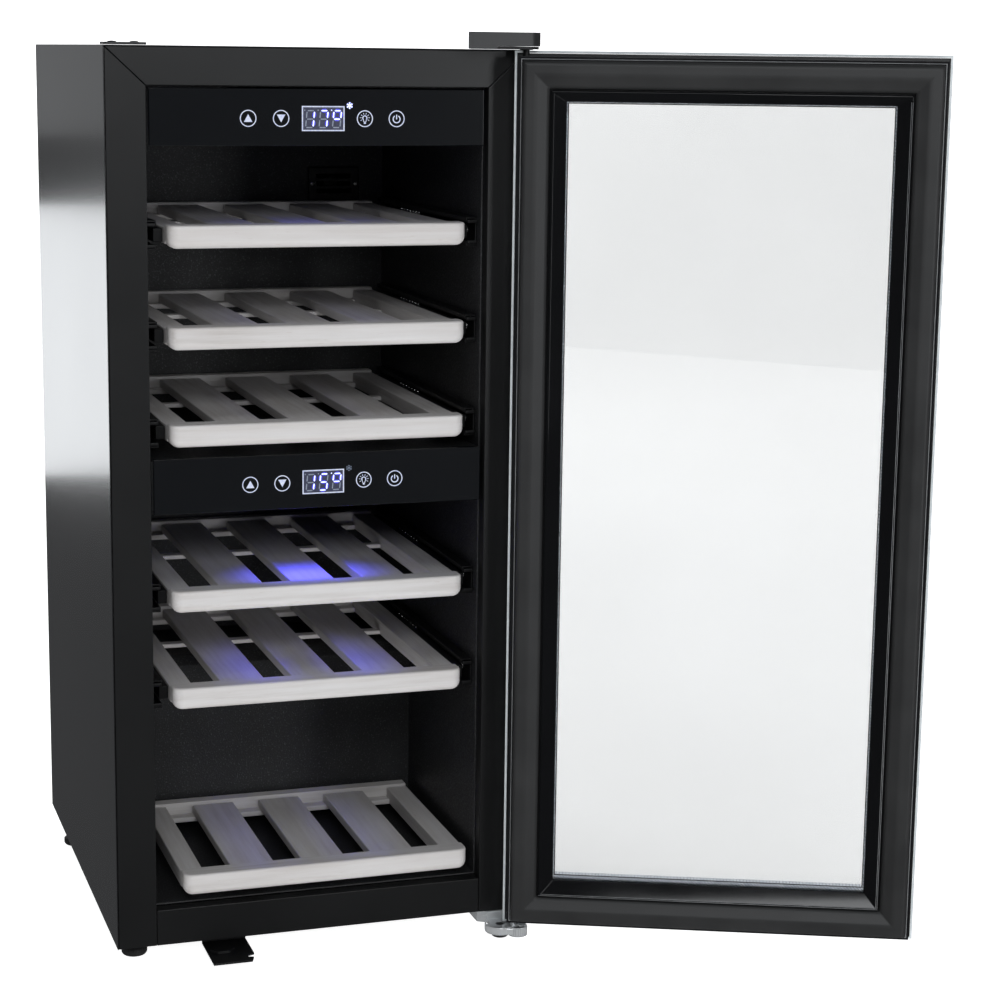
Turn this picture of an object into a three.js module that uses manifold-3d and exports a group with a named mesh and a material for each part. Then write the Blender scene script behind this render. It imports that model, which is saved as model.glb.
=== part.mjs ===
// Dual-zone wine cooler, millimetres, +Z up, front towards -Y.
// The origin is the centre of the underside of the base pan.  The door stands open.
import * as THREE from 'three';
import { mergeVertices } from 'three/addons/utils/BufferGeometryUtils.js';
import Module from 'manifold-3d';

const wasm = await Module();
wasm.setup();

// Cabinet
const WIDTH = 395;
const HEIGHT = 840;
const DEPTH = 453;
const SHEET = 1;
const GAP = 0.3;
const SIDE_RAIL = 37.5;
const END_RAIL = 35;
const RAIL_DEPTH = 14;
const RAIL_CHAMFER = 0.4;
const BASE_SHEET = 1.5;
const BASE_LIP = 18;
const BASE_RAISE = 0.5;
const BASE_PAD = { x: [-120, 120], y: [-150, 150] };

// Food-side liner and the step over the compressor
const LINER_WALL = 2;
const LINER_HALF = 158.5;
const LINER_FLOOR = 37;
const LINER_CEILING = 803.5;
const LINER_BACK = 135;
const STEP_FRONT = 18;
const STEP_TOP = 216;
const STEP_CHAMFER = 10;

// Control fascias, divider and lights
const FASCIA_HALF = 157;
const FASCIA_HEIGHT = 51.5;
const FASCIA_FRONT = -223;
const FASCIA_THICK = 5;
const UPPER_FASCIA_Z = 751.5;
const LOWER_FASCIA_Z = 415.5;
const DIVIDER_BOTTOM = 419;
const DIVIDER_TOP = 465;
const DIVIDER_WALL = 2.5;
const LENS_SIZE = [96, 34, 6];
const LENS_Y = -168;

// Air grilles and fans
const GRILLE_SIZE = [56, 36, 3];
const GRILLE_X = 104;
const GRILLE_Z = [697, 352];
const SLOT_COUNT = 3;
const SLOT_SIZE = [38, 5];
const SLOT_PITCH = 8;
const ROTOR_RADIUS = 16;
const ROTOR_HUB = 7;
const ROTOR_DEPTH = 9;
const ROTOR_BLADES = 7;
const ROTOR_Y = 146;

// Shelves: height of the top of each front board
const SHELF_TOPS = [680.5, 588, 498.25, 342.5, 249.75];
const BOTTOM_SHELF_TOP = 66.5;
const BOTTOM_SHELF_X = 8;
const BOTTOM_SHELF_BACK = 8;
const SHELF_HALF = 140.75;
const SHELF_FRONT = -225;
const SHELF_BACK = 122;
const BOARD = { height: 21.5, depth: 20, nose: 8, edge: 1, gap: 0.25 };
const SLAT_WIDTH = 43;
const SLAT_X = [-70, 0, 70];
const SLAT_DROP = 3;
const SLAT_THICK = 9;
const MEMBER_WIDTH = 22;
const MEMBER_DROP = 18;
const BAR_DEPTH = 14;
const MID_BAR_BACK = 118;

// Telescopic slides
const SLIDE = { height: 27, depth: 10.5, wall: 1.5, lip: 4.5, front: -200, back: 114, drop: 10.5 };

// Door, measured from the hinge axis while shut
const HINGE_X = 189;
const HINGE_Y = -247.5;
const OPEN_DEG = 157;
const DOOR_WIDTH = 400;
const DOOR_BOTTOM = -7.5;
const DOOR_TOP = 839.3;
const HINGE_INSET = 11;
const GLASS = { inner: 6, outer: 10 };
const FRAME_RING = { outer: 5, inner: 44, back: -10, front: 5.7 };
const INNER_GLASS = { edge: 44.3, back: -8.2, front: -5 };
const SPACER_RING = { outer: 44.3, inner: 50.5, back: -4.7, front: 5.7 };
const HINGE_HOLE = { radius: 3.6, depth: 26 };
const GASKET_PROFILE = [
  [9, -10.3], [9, -16], [10.2, -19], [12.5, -20.3], [19, -20.5], [23, -19.8], [28, -17.2],
  [31.5, -15.8], [34, -13.5], [34.8, -10.3],
];
const WINDOW_RISE = 4;
const SILL_RISE = 1.2;
const BEZEL_PROFILE = [
  [35.5, -10.3], [35.5, -15.2], [36.6, -16.5], [38, -16.5], [49.8, -9.6, SILL_RISE, WINDOW_RISE],
  [49.8, -8.5, SILL_RISE, WINDOW_RISE], [44.3, -8.5, WINDOW_RISE], [44.3, -10.3, WINDOW_RISE],
];
const HANDLE = { inset: 24, z: [330, 510], radius: 6, reach: 44, post: 5 };

// Hinges, catch, feet and what stands in the back
const PIN_RADIUS = 3;
const TOP_PLATE = { z: [840.3, 842.8], x: [158, 200.5], y: [-258.5, -176] };
const COVER = { z: [843.1, 855.6], x: [129, 202], y: [-260, -172], back: 162, radius: 13, low: 840.4 };
const COVER_SKIRT = [[129, -260], [157, -260], [157, -186]];
const FOOT = { pad: 12, height: 9, stem: 4, bottom: -21, top: 14, hole: 4.6 };
const FRONT_RIGHT_FOOT = { x: 178, y: -240, pad: 8.5, top: -8.6 };
const FOOT_XY = [[-175, -184.5], [-183, 148], [183, 148]];
const BRACKET = { top: -0.3, plate: -11.7, arm: -8.4 };
const BRACKET_BLOCK = [
  [160, -170], [160, -221], [168.5, -226], [168.5, -240], [172, -246], [186, -248], [192, -238], [192, -170],
];
const RIM = { inner: 9.2, outer: 15, from: 172, to: 335, z: [-15.5, -8.4] };
const BOSS = { x: 193, y: -250, radius: 9.5, z: [-17.5, -8.6] };
const CATCH = { x: [-113, -70.5], back: -190, wall: -206, front: -262.5, plate: 2.2, drop: -11.2 };
const CATCH_BOSS = { x: [-110, -87], y: [-239.5, -224.5], cut: 6, top: -6.8 };
const COMPRESSOR = { x: 70, y: 122, radius: 52, bottom: 20, top: 142 };
const COVER_TOP = 226;

const BLACK_STEEL = { color: 0x0b0c0e, roughness: 0.32, metalness: 0.2 };
const SATIN_BLACK = { color: 0x1b1c1e, roughness: 0.45, metalness: 0.1 };
const LINER_BLACK = { color: 0x141416, roughness: 0.8, metalness: 0 };
const GLOSS_BLACK = { color: 0x050608, roughness: 0.08, metalness: 0 };
const RUBBER = { color: 0x2b2c2e, roughness: 0.6, metalness: 0 };
const BEECH = { color: 0xcdbfae, roughness: 0.6, metalness: 0 };
const ZINC = { color: 0x9a9c9f, roughness: 0.35, metalness: 0.9 };
const CLEAR_GLASS = { color: 0xdfe6e8, roughness: 0.05, metalness: 0 };
const DIFFUSER = { color: 0xdce2f4, roughness: 0.4, metalness: 0 };
const FRONT_Y = -DEPTH / 2;
const BACK_Y = DEPTH / 2;
const root = new THREE.Group();

function cleaned(geometry) {
  const flat = geometry.clone();
  flat.deleteAttribute('normal');
  flat.deleteAttribute('uv');
  return mergeVertices(flat, 1e-4);
}

function solid(geometry) {
  const merged = cleaned(geometry);
  const source = new wasm.Mesh({
    numProp: 3,
    vertProperties: new Float32Array(merged.attributes.position.array),
    triVerts: new Uint32Array(merged.index.array),
  });
  return new wasm.Manifold(source);
}

function geometryOf(body) {
  const mesh = body.getMesh();
  const geometry = new THREE.BufferGeometry();
  geometry.setAttribute('position', new THREE.BufferAttribute(new Float32Array(mesh.vertProperties), 3));
  geometry.setIndex(new THREE.BufferAttribute(new Uint32Array(mesh.triVerts), 1));
  return geometry;
}

function joined(pieces) {
  return pieces.map(solid).reduce((sum, piece) => sum.add(piece));
}

function carved(body, cutters) {
  const start = body instanceof THREE.BufferGeometry ? solid(body) : body;
  return cutters.map(solid).reduce((rest, cutter) => rest.subtract(cutter), start);
}

function add(name, shape, look) {
  const geometry = shape instanceof THREE.BufferGeometry ? cleaned(shape) : geometryOf(shape);
  geometry.computeVertexNormals();
  const mesh = new THREE.Mesh(geometry, new THREE.MeshStandardMaterial(look));
  mesh.name = name;
  root.add(mesh);
}

function box(x, y, z) {
  const geometry = new THREE.BoxGeometry(x[1] - x[0], y[1] - y[0], z[1] - z[0]);
  return geometry.translate((x[0] + x[1]) / 2, (y[0] + y[1]) / 2, (z[0] + z[1]) / 2);
}

function outline(points) {
  return new THREE.Shape(points.map(([a, b]) => new THREE.Vector2(a, b)));
}

// A plan outline (x, y) raised from z[0] to z[1]
function raised(points, z) {
  const geometry = new THREE.ExtrudeGeometry(outline(points), { depth: z[1] - z[0], bevelEnabled: false });
  return geometry.translate(0, 0, z[0]);
}

// A front outline (x, z) running from y[0] to y[1]
function alongY(points, y, bevel = 0) {
  const options = { depth: y[1] - y[0] - 2 * bevel, bevelEnabled: bevel > 0, bevelSegments: 1 };
  Object.assign(options, { bevelThickness: bevel, bevelSize: bevel, bevelOffset: -bevel });
  const geometry = new THREE.ExtrudeGeometry(outline(points), options);
  return geometry.translate(0, 0, bevel).rotateX(Math.PI / 2).translate(0, y[1], 0);
}

// A side outline (y, z) running from x[0] to x[1]
function alongX(points, x) {
  const geometry = new THREE.ExtrudeGeometry(outline(points), { depth: x[1] - x[0], bevelEnabled: false });
  return geometry.rotateY(Math.PI / 2).rotateX(Math.PI / 2).translate(x[0], 0, 0);
}

function post(x, y, z, radius, sides = 20) {
  const geometry = new THREE.CylinderGeometry(radius, radius, z[1] - z[0], sides);
  return geometry.rotateX(Math.PI / 2).translate(x, y, (z[0] + z[1]) / 2);
}

function rectangle(x, z) {
  return [[x[0], z[0]], [x[1], z[0]], [x[1], z[1]], [x[0], z[1]]];
}

function clipped(x, z, cut) {
  return [
    [x[0] + cut, z[0]], [x[1] - cut, z[0]], [x[1], z[0] + cut], [x[1], z[1] - cut],
    [x[1] - cut, z[1]], [x[0] + cut, z[1]], [x[0], z[1] - cut], [x[0], z[0] + cut],
  ];
}

function slab(x, y, z, bevel) {
  return alongY(rectangle(x, z), y, bevel);
}

function addShell() {
  const half = WIDTH / 2;
  const inner = half - SHEET;
  const wrap = [
    [-half, 0], [-inner, 0], [-inner, HEIGHT - SHEET], [inner, HEIGHT - SHEET],
    [inner, 0], [half, 0], [half, HEIGHT], [-half, HEIGHT],
  ];
  add('outer_shell', alongY(wrap, [FRONT_Y, BACK_Y]), BLACK_STEEL);
}

function addBasePan() {
  const x = [-WIDTH / 2 + SHEET + GAP, WIDTH / 2 - SHEET - GAP];
  const y = [FRONT_Y + RAIL_DEPTH + 2 * GAP, BACK_Y - 3];
  const pieces = [
    box(x, y, [BASE_RAISE, BASE_RAISE + BASE_SHEET]),
    box([x[0], x[0] + BASE_SHEET], y, [BASE_RAISE, BASE_LIP]),
    box([x[1] - BASE_SHEET, x[1]], y, [BASE_RAISE, BASE_LIP]),
    box([-8, 8], y, [BASE_RAISE, 5]),
    box(BASE_PAD.x, BASE_PAD.y, [0, BASE_RAISE + 0.5]),
  ];
  const holes = FOOT_XY.map(([fx, fy]) => post(fx, fy, [-2, 6], FOOT.hole));
  add('base_pan', carved(joined(pieces), holes), BLACK_STEEL);
}

function ventSlots(columns, rows, size, pitch, start, depth) {
  const cutters = [];
  for (let column = 0; column < columns; column += 1) {
    for (let row = 0; row < rows; row += 1) {
      const x = start[0] + column * pitch[0];
      const z = start[1] + row * pitch[1];
      cutters.push(box([x, x + size[0]], depth, [z, z + size[1]]));
    }
  }
  return cutters;
}

function addBack() {
  const x = [-WIDTH / 2 + SHEET + GAP, WIDTH / 2 - SHEET - GAP];
  const y = [BACK_Y - 1.3, BACK_Y - 0.3];
  const top = HEIGHT - SHEET - GAP;
  add('rear_panel', box(x, y, [COVER_TOP + GAP, top]), BLACK_STEEL);
  const slots = ventSlots(2, 8, [130, 6], [160, 18], [-145, 50], [BACK_Y - 8, BACK_Y + 2]);
  const port = box([-180, -158], [BACK_Y - 8, BACK_Y + 2], [24, 40]);
  const cover = [box(x, [BACK_Y - 2.3, BACK_Y - 0.3], [BASE_SHEET + GAP, COVER_TOP])];
  add('compressor_cover', carved(joined(cover), [...slots, port]), SATIN_BLACK);
  const gland = alongY(rectangle([-179.5, -158.5], [24.5, 39.5]), [BACK_Y - 6, BACK_Y - 0.5], 1);
  const bore = box([-173, -165], [BACK_Y - 8, BACK_Y + 2], [28, 36]);
  add('cable_gland', carved(gland, [bore]), RUBBER);
}

function linerSide(grow, front) {
  const floor = LINER_FLOOR - grow;
  const ceiling = LINER_CEILING + grow;
  const back = LINER_BACK + grow;
  const step = STEP_FRONT - grow;
  const shelf = STEP_TOP + grow;
  return [
    [front, floor], [step, floor], [step, shelf - STEP_CHAMFER], [step + STEP_CHAMFER, shelf],
    [back, shelf], [back, ceiling], [front, ceiling],
  ];
}

function addLiner() {
  const front = FRONT_Y + RAIL_DEPTH + GAP;
  const step = LINER_WALL;
  const outer = solid(alongX(linerOutside(front), [-LINER_HALF - step, LINER_HALF + step]));
  const cavity = alongX(linerSide(0, front - 5), [-LINER_HALF, LINER_HALF]);
  const ports = GRILLE_Z.map((z) => box(
    [GRILLE_X - 19, GRILLE_X + 19], [LINER_BACK - 2, LINER_BACK + 5], [z - 12.5, z + 12.5],
  ));
  add('inner_liner', carved(outer, [cavity, ...ports]), LINER_BLACK);
}

function linerOutside(front) {
  const wall = LINER_WALL;
  const points = linerSide(wall, front);
  points[1] = [STEP_FRONT + wall, LINER_FLOOR - wall];
  points[2] = [STEP_FRONT + wall, STEP_TOP - STEP_CHAMFER - wall / 2];
  points[3] = [STEP_FRONT + STEP_CHAMFER + wall / 2, STEP_TOP - wall];
  points[4] = [LINER_BACK + wall, STEP_TOP - wall];
  return points;
}

function addFrame() {
  const y = [FRONT_Y + GAP, FRONT_Y + RAIL_DEPTH];
  const out = WIDTH / 2 - SHEET - GAP;
  const inn = WIDTH / 2 - SIDE_RAIL;
  const top = HEIGHT - SHEET - GAP;
  const under = HEIGHT - END_RAIL;
  const rail = END_RAIL;
  const left = [[-out, GAP], [-inn, GAP], [-inn, under - GAP], [-out, top - GAP]];
  const right = left.map(([x, z]) => [-x, z]).reverse();
  const upper = [[-inn + GAP, under], [inn - GAP, under], [out - GAP, top], [-out + GAP, top]];
  add('frame_left', alongY(left, y, RAIL_CHAMFER), SATIN_BLACK);
  add('frame_right', alongY(right, y, RAIL_CHAMFER), SATIN_BLACK);
  add('frame_top', alongY(upper, y, RAIL_CHAMFER), SATIN_BLACK);
  add('frame_bottom', slab([-inn + GAP, inn - GAP], y, [GAP, rail], RAIL_CHAMFER), SATIN_BLACK);
}

function addFascias() {
  const x = [-FASCIA_HALF, FASCIA_HALF];
  const y = [FASCIA_FRONT, FASCIA_FRONT + FASCIA_THICK];
  const names = [['upper_control_fascia', UPPER_FASCIA_Z], ['lower_control_fascia', LOWER_FASCIA_Z]];
  for (const [name, z] of names) {
    add(name, slab(x, y, [z, z + FASCIA_HEIGHT], 0.6), GLOSS_BLACK);
  }
  const behind = y[1] + GAP;
  const housing = slab([-80, 80], [behind, behind + 30], [762, LINER_CEILING - GAP], 1);
  add('control_box', housing, LINER_BLACK);
}

function addDivider() {
  const x = [-LINER_HALF + GAP, LINER_HALF - GAP];
  const front = FASCIA_FRONT + FASCIA_THICK + GAP;
  const wall = DIVIDER_WALL;
  const back = LINER_BACK - GAP;
  const side = [
    [front, DIVIDER_BOTTOM], [back, DIVIDER_BOTTOM], [back, DIVIDER_BOTTOM + wall],
    [front + wall, DIVIDER_BOTTOM + wall], [front + wall, DIVIDER_TOP - wall],
    [back, DIVIDER_TOP - wall], [back, DIVIDER_TOP], [front, DIVIDER_TOP],
  ];
  add('zone_divider', alongX(side, x), LINER_BLACK);
}

function addLenses() {
  const [wide, deep, tall] = LENS_SIZE;
  const ceilings = [['upper_light_lens', LINER_CEILING], ['lower_light_lens', DIVIDER_BOTTOM]];
  for (const [name, ceiling] of ceilings) {
    const z = [ceiling - GAP - tall, ceiling - GAP];
    add(name, slab([-wide / 2, wide / 2], [LENS_Y - deep / 2, LENS_Y + deep / 2], z, 1.5), DIFFUSER);
  }
}

function addGrille(name, z) {
  const [wide, tall, thick] = GRILLE_SIZE;
  const y = [LINER_BACK - GAP - thick, LINER_BACK - GAP];
  const plate = slab([GRILLE_X - wide / 2, GRILLE_X + wide / 2], y, [z - tall / 2, z + tall / 2], 1);
  const first = z - SLOT_PITCH - SLOT_SIZE[1] / 2;
  const slots = ventSlots(
    1, SLOT_COUNT, SLOT_SIZE, [0, SLOT_PITCH], [GRILLE_X - SLOT_SIZE[0] / 2, first], [y[0] - 2, y[1] + 2],
  );
  add(name, carved(plate, slots), SATIN_BLACK);
}

function addRotor(name, z) {
  const pieces = [post(0, 0, [0, ROTOR_DEPTH], ROTOR_HUB, 16)];
  for (let index = 0; index < ROTOR_BLADES; index += 1) {
    const blade = new THREE.BoxGeometry(ROTOR_RADIUS - 4, 1.4, ROTOR_DEPTH - 1.5);
    blade.rotateX(0.6).translate((ROTOR_RADIUS + 4) / 2, 0, ROTOR_DEPTH / 2);
    pieces.push(blade.rotateZ((index * 2 * Math.PI) / ROTOR_BLADES));
  }
  const rotor = geometryOf(joined(pieces));
  add(name, rotor.rotateX(-Math.PI / 2).translate(GRILLE_X, ROTOR_Y, z), SATIN_BLACK);
}

// The section (y, z) of a front board: a rounded lower nose and a nearly sharp upper edge
function boardSection(front, back, top) {
  const { height, nose, edge } = BOARD;
  const points = [[back, top - height], [back, top], [front + edge, top], [front, top - edge]];
  for (let step = 0; step <= 5; step += 1) {
    const angle = Math.PI + (step * Math.PI) / 10;
    points.push([front + nose + nose * Math.cos(angle), top - height + nose + nose * Math.sin(angle)]);
  }
  return points.reverse();
}

function addShelf(name, top, centre, back) {
  const x = [centre - SHELF_HALF, centre + SHELF_HALF];
  const boardBack = SHELF_FRONT + BOARD.depth;
  add(`${name}_front`, alongX(boardSection(SHELF_FRONT, boardBack, top), x), BEECH);
  const start = boardBack + BOARD.gap;
  const bar = BAR_DEPTH;
  const low = top - MEMBER_DROP;
  const slatZ = [top - SLAT_DROP - SLAT_THICK, top - SLAT_DROP];
  const span = [x[0] + 1, x[1] - 1];
  const pieces = [
    box([x[0], x[0] + MEMBER_WIDTH], [start, back - 1], [low, top - SLAT_DROP]),
    box([x[1] - MEMBER_WIDTH, x[1]], [start, back - 1], [low, top - SLAT_DROP]),
    box(span, [start, start + 8], [low + 1, slatZ[0] + 2]),
    box(span, [back - 2 * bar, back - bar + 2], [low + 1, slatZ[0] + 2]),
    box(x, [back - bar, back], [low - 1, top - 0.5]),
  ];
  for (const slat of SLAT_X) {
    const edge = [centre + slat - SLAT_WIDTH / 2, centre + slat + SLAT_WIDTH / 2];
    pieces.push(box(edge, [start + 0.5, back - bar - 3], slatZ));
  }
  if (back > MID_BAR_BACK) {
    pieces.push(box(span, [-10, 2], [low + 2, slatZ[0] + 2]));
  }
  add(`${name}_deck`, joined(pieces), BEECH);
}

function slideProfile(side, top) {
  const { height, depth, wall, lip } = SLIDE;
  const low = top - height;
  const at = (d) => side * (LINER_HALF - GAP - d);
  const points = [
    [at(0), low], [at(0), top], [at(depth), top], [at(depth), top - lip], [at(depth - wall), top - lip],
    [at(depth - wall), top - wall], [at(wall), top - wall], [at(wall), low + wall],
    [at(depth - wall), low + wall], [at(depth - wall), low + lip], [at(depth), low + lip], [at(depth), low],
  ];
  return side > 0 ? points : points.reverse();
}

function addShelves() {
  SHELF_TOPS.forEach((top, index) => {
    const number = index + 1;
    addShelf(`shelf_${number}`, top, 0, SHELF_BACK);
    const slideTop = top + SLIDE.height / 2 - SLIDE.drop;
    const y = [SLIDE.front, SLIDE.back];
    add(`slide_${number}_left`, alongY(slideProfile(-1, slideTop), y), BLACK_STEEL);
    add(`slide_${number}_right`, alongY(slideProfile(1, slideTop), y), BLACK_STEEL);
  });
  addShelf('shelf_6', BOTTOM_SHELF_TOP, BOTTOM_SHELF_X, BOTTOM_SHELF_BACK);
}

// Door pieces are drawn shut, with insets counted from the edge of the outer glass.
// The window sits a little above the middle of the door: its lower edge by rise, its upper by topRise.
function doorRectangle(inset, rise = 0, topRise = rise) {
  const right = HINGE_X + HINGE_INSET - inset;
  const left = HINGE_X + HINGE_INSET - DOOR_WIDTH + inset;
  return rectangle([left, right], [DOOR_BOTTOM + inset + rise, DOOR_TOP - inset + topRise]);
}

function doorSlab(inset, back, front, rise = 0, bevel = 0) {
  return alongY(doorRectangle(inset, rise), [HINGE_Y - front, HINGE_Y - back], bevel);
}

// A mitred ring: the profile (inset, v, rises) is swept round the four corners of the door.
function doorRing(profile) {
  const positions = [];
  const indices = [];
  const count = profile.length;
  for (const [inset, v, ...rises] of profile) {
    for (const [x, z] of doorRectangle(inset, ...rises)) {
      positions.push(x, HINGE_Y - v, z);
    }
  }
  for (let index = 0; index < count; index += 1) {
    const next = (index + 1) % count;
    for (let corner = 0; corner < 4; corner += 1) {
      const turn = (corner + 1) % 4;
      const a = index * 4 + corner;
      const b = index * 4 + turn;
      const c = next * 4 + turn;
      const d = next * 4 + corner;
      indices.push(a, c, b, a, d, c);
    }
  }
  const geometry = new THREE.BufferGeometry();
  geometry.setAttribute('position', new THREE.BufferAttribute(new Float32Array(positions), 3));
  geometry.setIndex(indices);
  return geometry;
}

function opened(shape) {
  const geometry = shape instanceof THREE.BufferGeometry ? cleaned(shape) : geometryOf(shape);
  geometry.translate(-HINGE_X, -HINGE_Y, 0);
  geometry.rotateZ(THREE.MathUtils.degToRad(OPEN_DEG));
  return geometry.translate(HINGE_X, HINGE_Y, 0);
}

function ringBox(ring, rise) {
  const whole = doorSlab(ring.outer, ring.back, ring.front, rise);
  return carved(whole, [doorSlab(ring.inner, ring.back - 2, ring.front + 2, WINDOW_RISE)]);
}

function addDoor() {
  add('outer_glass', opened(doorSlab(0, GLASS.inner, GLASS.outer, 0, 0.7)), GLOSS_BLACK);
  const { radius, depth } = HINGE_HOLE;
  const edge = [DOOR_BOTTOM + FRAME_RING.outer, DOOR_TOP - FRAME_RING.outer];
  const holes = [
    post(HINGE_X, HINGE_Y, [edge[0] - 5, edge[0] + depth], radius),
    post(HINGE_X, HINGE_Y, [edge[1] - depth, edge[1] + 5], radius),
  ];
  add('door_frame', opened(carved(ringBox(FRAME_RING, 0), holes)), GLOSS_BLACK);
  add('glass_spacer', opened(ringBox(SPACER_RING, WINDOW_RISE)), ZINC);
  const pane = doorSlab(INNER_GLASS.edge, INNER_GLASS.back, INNER_GLASS.front, WINDOW_RISE);
  add('inner_glass', opened(pane), CLEAR_GLASS);
  add('door_gasket', opened(doorRing(GASKET_PROFILE)), RUBBER);
  add('door_bezel', opened(doorRing(BEZEL_PROFILE)), GLOSS_BLACK);
  addHandle();
}

function addHandle() {
  const x = HINGE_X + HINGE_INSET - DOOR_WIDTH + HANDLE.inset;
  const face = HINGE_Y - GLASS.outer - GAP;
  const bar = post(x, face - HANDLE.reach, HANDLE.z, HANDLE.radius, 24);
  const pieces = [bar];
  for (const z of [HANDLE.z[0] + 25, HANDLE.z[1] - 25]) {
    const stand = new THREE.CylinderGeometry(HANDLE.post, HANDLE.post, HANDLE.reach, 20);
    pieces.push(stand.translate(x, face - HANDLE.reach / 2, z));
  }
  add('door_handle', opened(joined(pieces)), ZINC);
}

// A plan with a rounded front-right corner and a left side that may slant back to backLeft
function roundedPlan(x, y, radius, backLeft = x[0]) {
  const points = [[x[0], y[0]]];
  for (let step = 0; step <= 8; step += 1) {
    const angle = -Math.PI / 2 + (step * Math.PI) / 16;
    points.push([x[1] - radius + radius * Math.cos(angle), y[0] + radius + radius * Math.sin(angle)]);
  }
  return [...points, [x[1], y[1]], [backLeft, y[1]]];
}

function addTopHinge() {
  const { z, x, y } = TOP_PLATE;
  const plan = roundedPlan(x, y, 11);
  const pin = post(HINGE_X, HINGE_Y, [DOOR_TOP - 18, z[0] + 1], PIN_RADIUS);
  const washer = post(HINGE_X, HINGE_Y, [DOOR_TOP + 0.4, z[0] + 0.5], 6);
  add('top_hinge_bracket', joined([raised(plan, z), pin, washer]), SATIN_BLACK);
  const cap = raised(roundedPlan(COVER.x, COVER.y, COVER.radius, COVER.back), COVER.z);
  const skirt = raised(COVER_SKIRT, [COVER.low, COVER.z[0] + 1]);
  add('top_hinge_cover', joined([cap, skirt]), SATIN_BLACK);
  const plate = raised(clipped([-196, -158], [-224, -198], 2), [HEIGHT + GAP, HEIGHT + GAP + 2.2]);
  add('hinge_hole_cover', plate, SATIN_BLACK);
}

function arcPoints(radius, from, to) {
  const { x, y } = FRONT_RIGHT_FOOT;
  const points = [];
  for (let step = 0; step <= 12; step += 1) {
    const angle = THREE.MathUtils.degToRad(from + ((to - from) * step) / 12);
    points.push([x + radius * Math.cos(angle), y + radius * Math.sin(angle)]);
  }
  return points;
}

function addBottomHinge() {
  const { inner, outer, from, to, z } = RIM;
  const foot = FRONT_RIGHT_FOOT;
  const edge = arcPoints(outer, from, to);
  const arm = joined([
    raised(BRACKET_BLOCK, [BRACKET.plate, BRACKET.top]),
    raised(edge, [BRACKET.plate, BRACKET.arm]),
    raised([...edge, ...arcPoints(inner, from, to).reverse()], z),
    post(BOSS.x, BOSS.y, BOSS.z, BOSS.radius, 24),
  ]);
  const pin = joined([
    post(HINGE_X, HINGE_Y, [-12, DOOR_BOTTOM + 18], PIN_RADIUS),
    post(HINGE_X, HINGE_Y, [BOSS.z[1] - 1, DOOR_BOTTOM - 0.5], 6),
  ]);
  const cutters = [
    post(foot.x, foot.y, [-30, 5], FOOT.hole),
    post(foot.x, foot.y, [-30, BRACKET.plate], inner),
    box([130, 205], [-270, FRONT_Y - GAP], [BRACKET.arm, 3]),
  ];
  add('bottom_hinge_bracket', carved(arm, cutters).add(pin), ZINC);
}

function addCatch() {
  const [left, right] = CATCH.x;
  const { back, wall, front, plate, drop } = CATCH;
  const bend = [
    [back, -GAP], [wall, -GAP], [wall, drop + plate], [front, drop + plate], [front, drop],
    [wall + plate, drop], [wall + plate, -GAP - plate], [back, -GAP - plate],
  ];
  const boss = clipped(CATCH_BOSS.x, CATCH_BOSS.y, CATCH_BOSS.cut);
  const whole = joined([alongX(bend, [left, right]), raised(boss, [drop + 1, CATCH_BOSS.top])]);
  const mouth = [[right + 3, -256], [right - 7, -253], [right - 7, -248], [right + 3, -244]];
  const notch = raised(mouth, [-30, 5]);
  const corner = raised([[right - 8, -270], [right + 3, -270], [right + 3, -240]], [-30, 5]);
  add('lock_strike_plate', carved(whole, [notch, corner]), SATIN_BLACK);
}

function footOutline(pad, top) {
  const { bottom, height, stem } = FOOT;
  return [
    [0, bottom], [pad - 1.5, bottom], [pad, bottom + 1.5], [pad, bottom + height - 2],
    [pad - 2, bottom + height], [stem, bottom + height], [stem, top], [0, top],
  ].map(([r, z]) => new THREE.Vector2(r, z));
}

function addFeet() {
  const front = FRONT_RIGHT_FOOT;
  const places = FOOT_XY.map(([x, y]) => [x, y, FOOT.pad, FOOT.top]);
  places.push([front.x, front.y, front.pad, front.top]);
  const names = ['front_left_foot', 'back_left_foot', 'back_right_foot', 'front_right_foot'];
  places.forEach(([x, y, pad, top], index) => {
    const foot = new THREE.LatheGeometry(footOutline(pad, top), 20).rotateX(Math.PI / 2);
    add(names[index], foot.translate(x, y, 0), RUBBER);
  });
}

function addCompressor() {
  const { x, y, radius, bottom, top } = COMPRESSOR;
  const profile = [
    [0, bottom], [radius * 0.7, bottom], [radius * 0.95, bottom + 14], [radius, bottom + 40],
    [radius * 1.06, bottom + 42], [radius * 1.06, bottom + 48], [radius, bottom + 50],
    [radius * 0.96, top - 22], [radius * 0.7, top - 5], [0, top],
  ].map(([r, z]) => new THREE.Vector2(r, z));
  const pot = new THREE.LatheGeometry(profile, 24).rotateX(Math.PI / 2).translate(x, y, 0);
  const rail = [[y - 50, y - 25], [y + 25, y + 50]].map((run) => box([x - 60, x + 60], run, [10, 24]));
  const legs = [[-48, -38], [48, -38], [-48, 38], [48, 38]].map(
    ([dx, dy]) => post(x + dx, y + dy, [BASE_RAISE + BASE_SHEET + GAP, 12], 9, 16),
  );
  add('compressor', joined([pot, ...rail, ...legs]), BLACK_STEEL);
}

addShell();
addBasePan();
addBack();
addLiner();
addFrame();
addFascias();
addDivider();
addLenses();
addGrille('upper_fan_grille', GRILLE_Z[0]);
addGrille('lower_fan_grille', GRILLE_Z[1]);
addRotor('upper_fan_rotor', GRILLE_Z[0]);
addRotor('lower_fan_rotor', GRILLE_Z[1]);
addShelves();
addDoor();
addTopHinge();
addBottomHinge();
addCatch();
addFeet();
addCompressor();

export default root;
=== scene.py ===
import math

import bmesh
import bpy
from mathutils import Matrix, Vector


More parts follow.
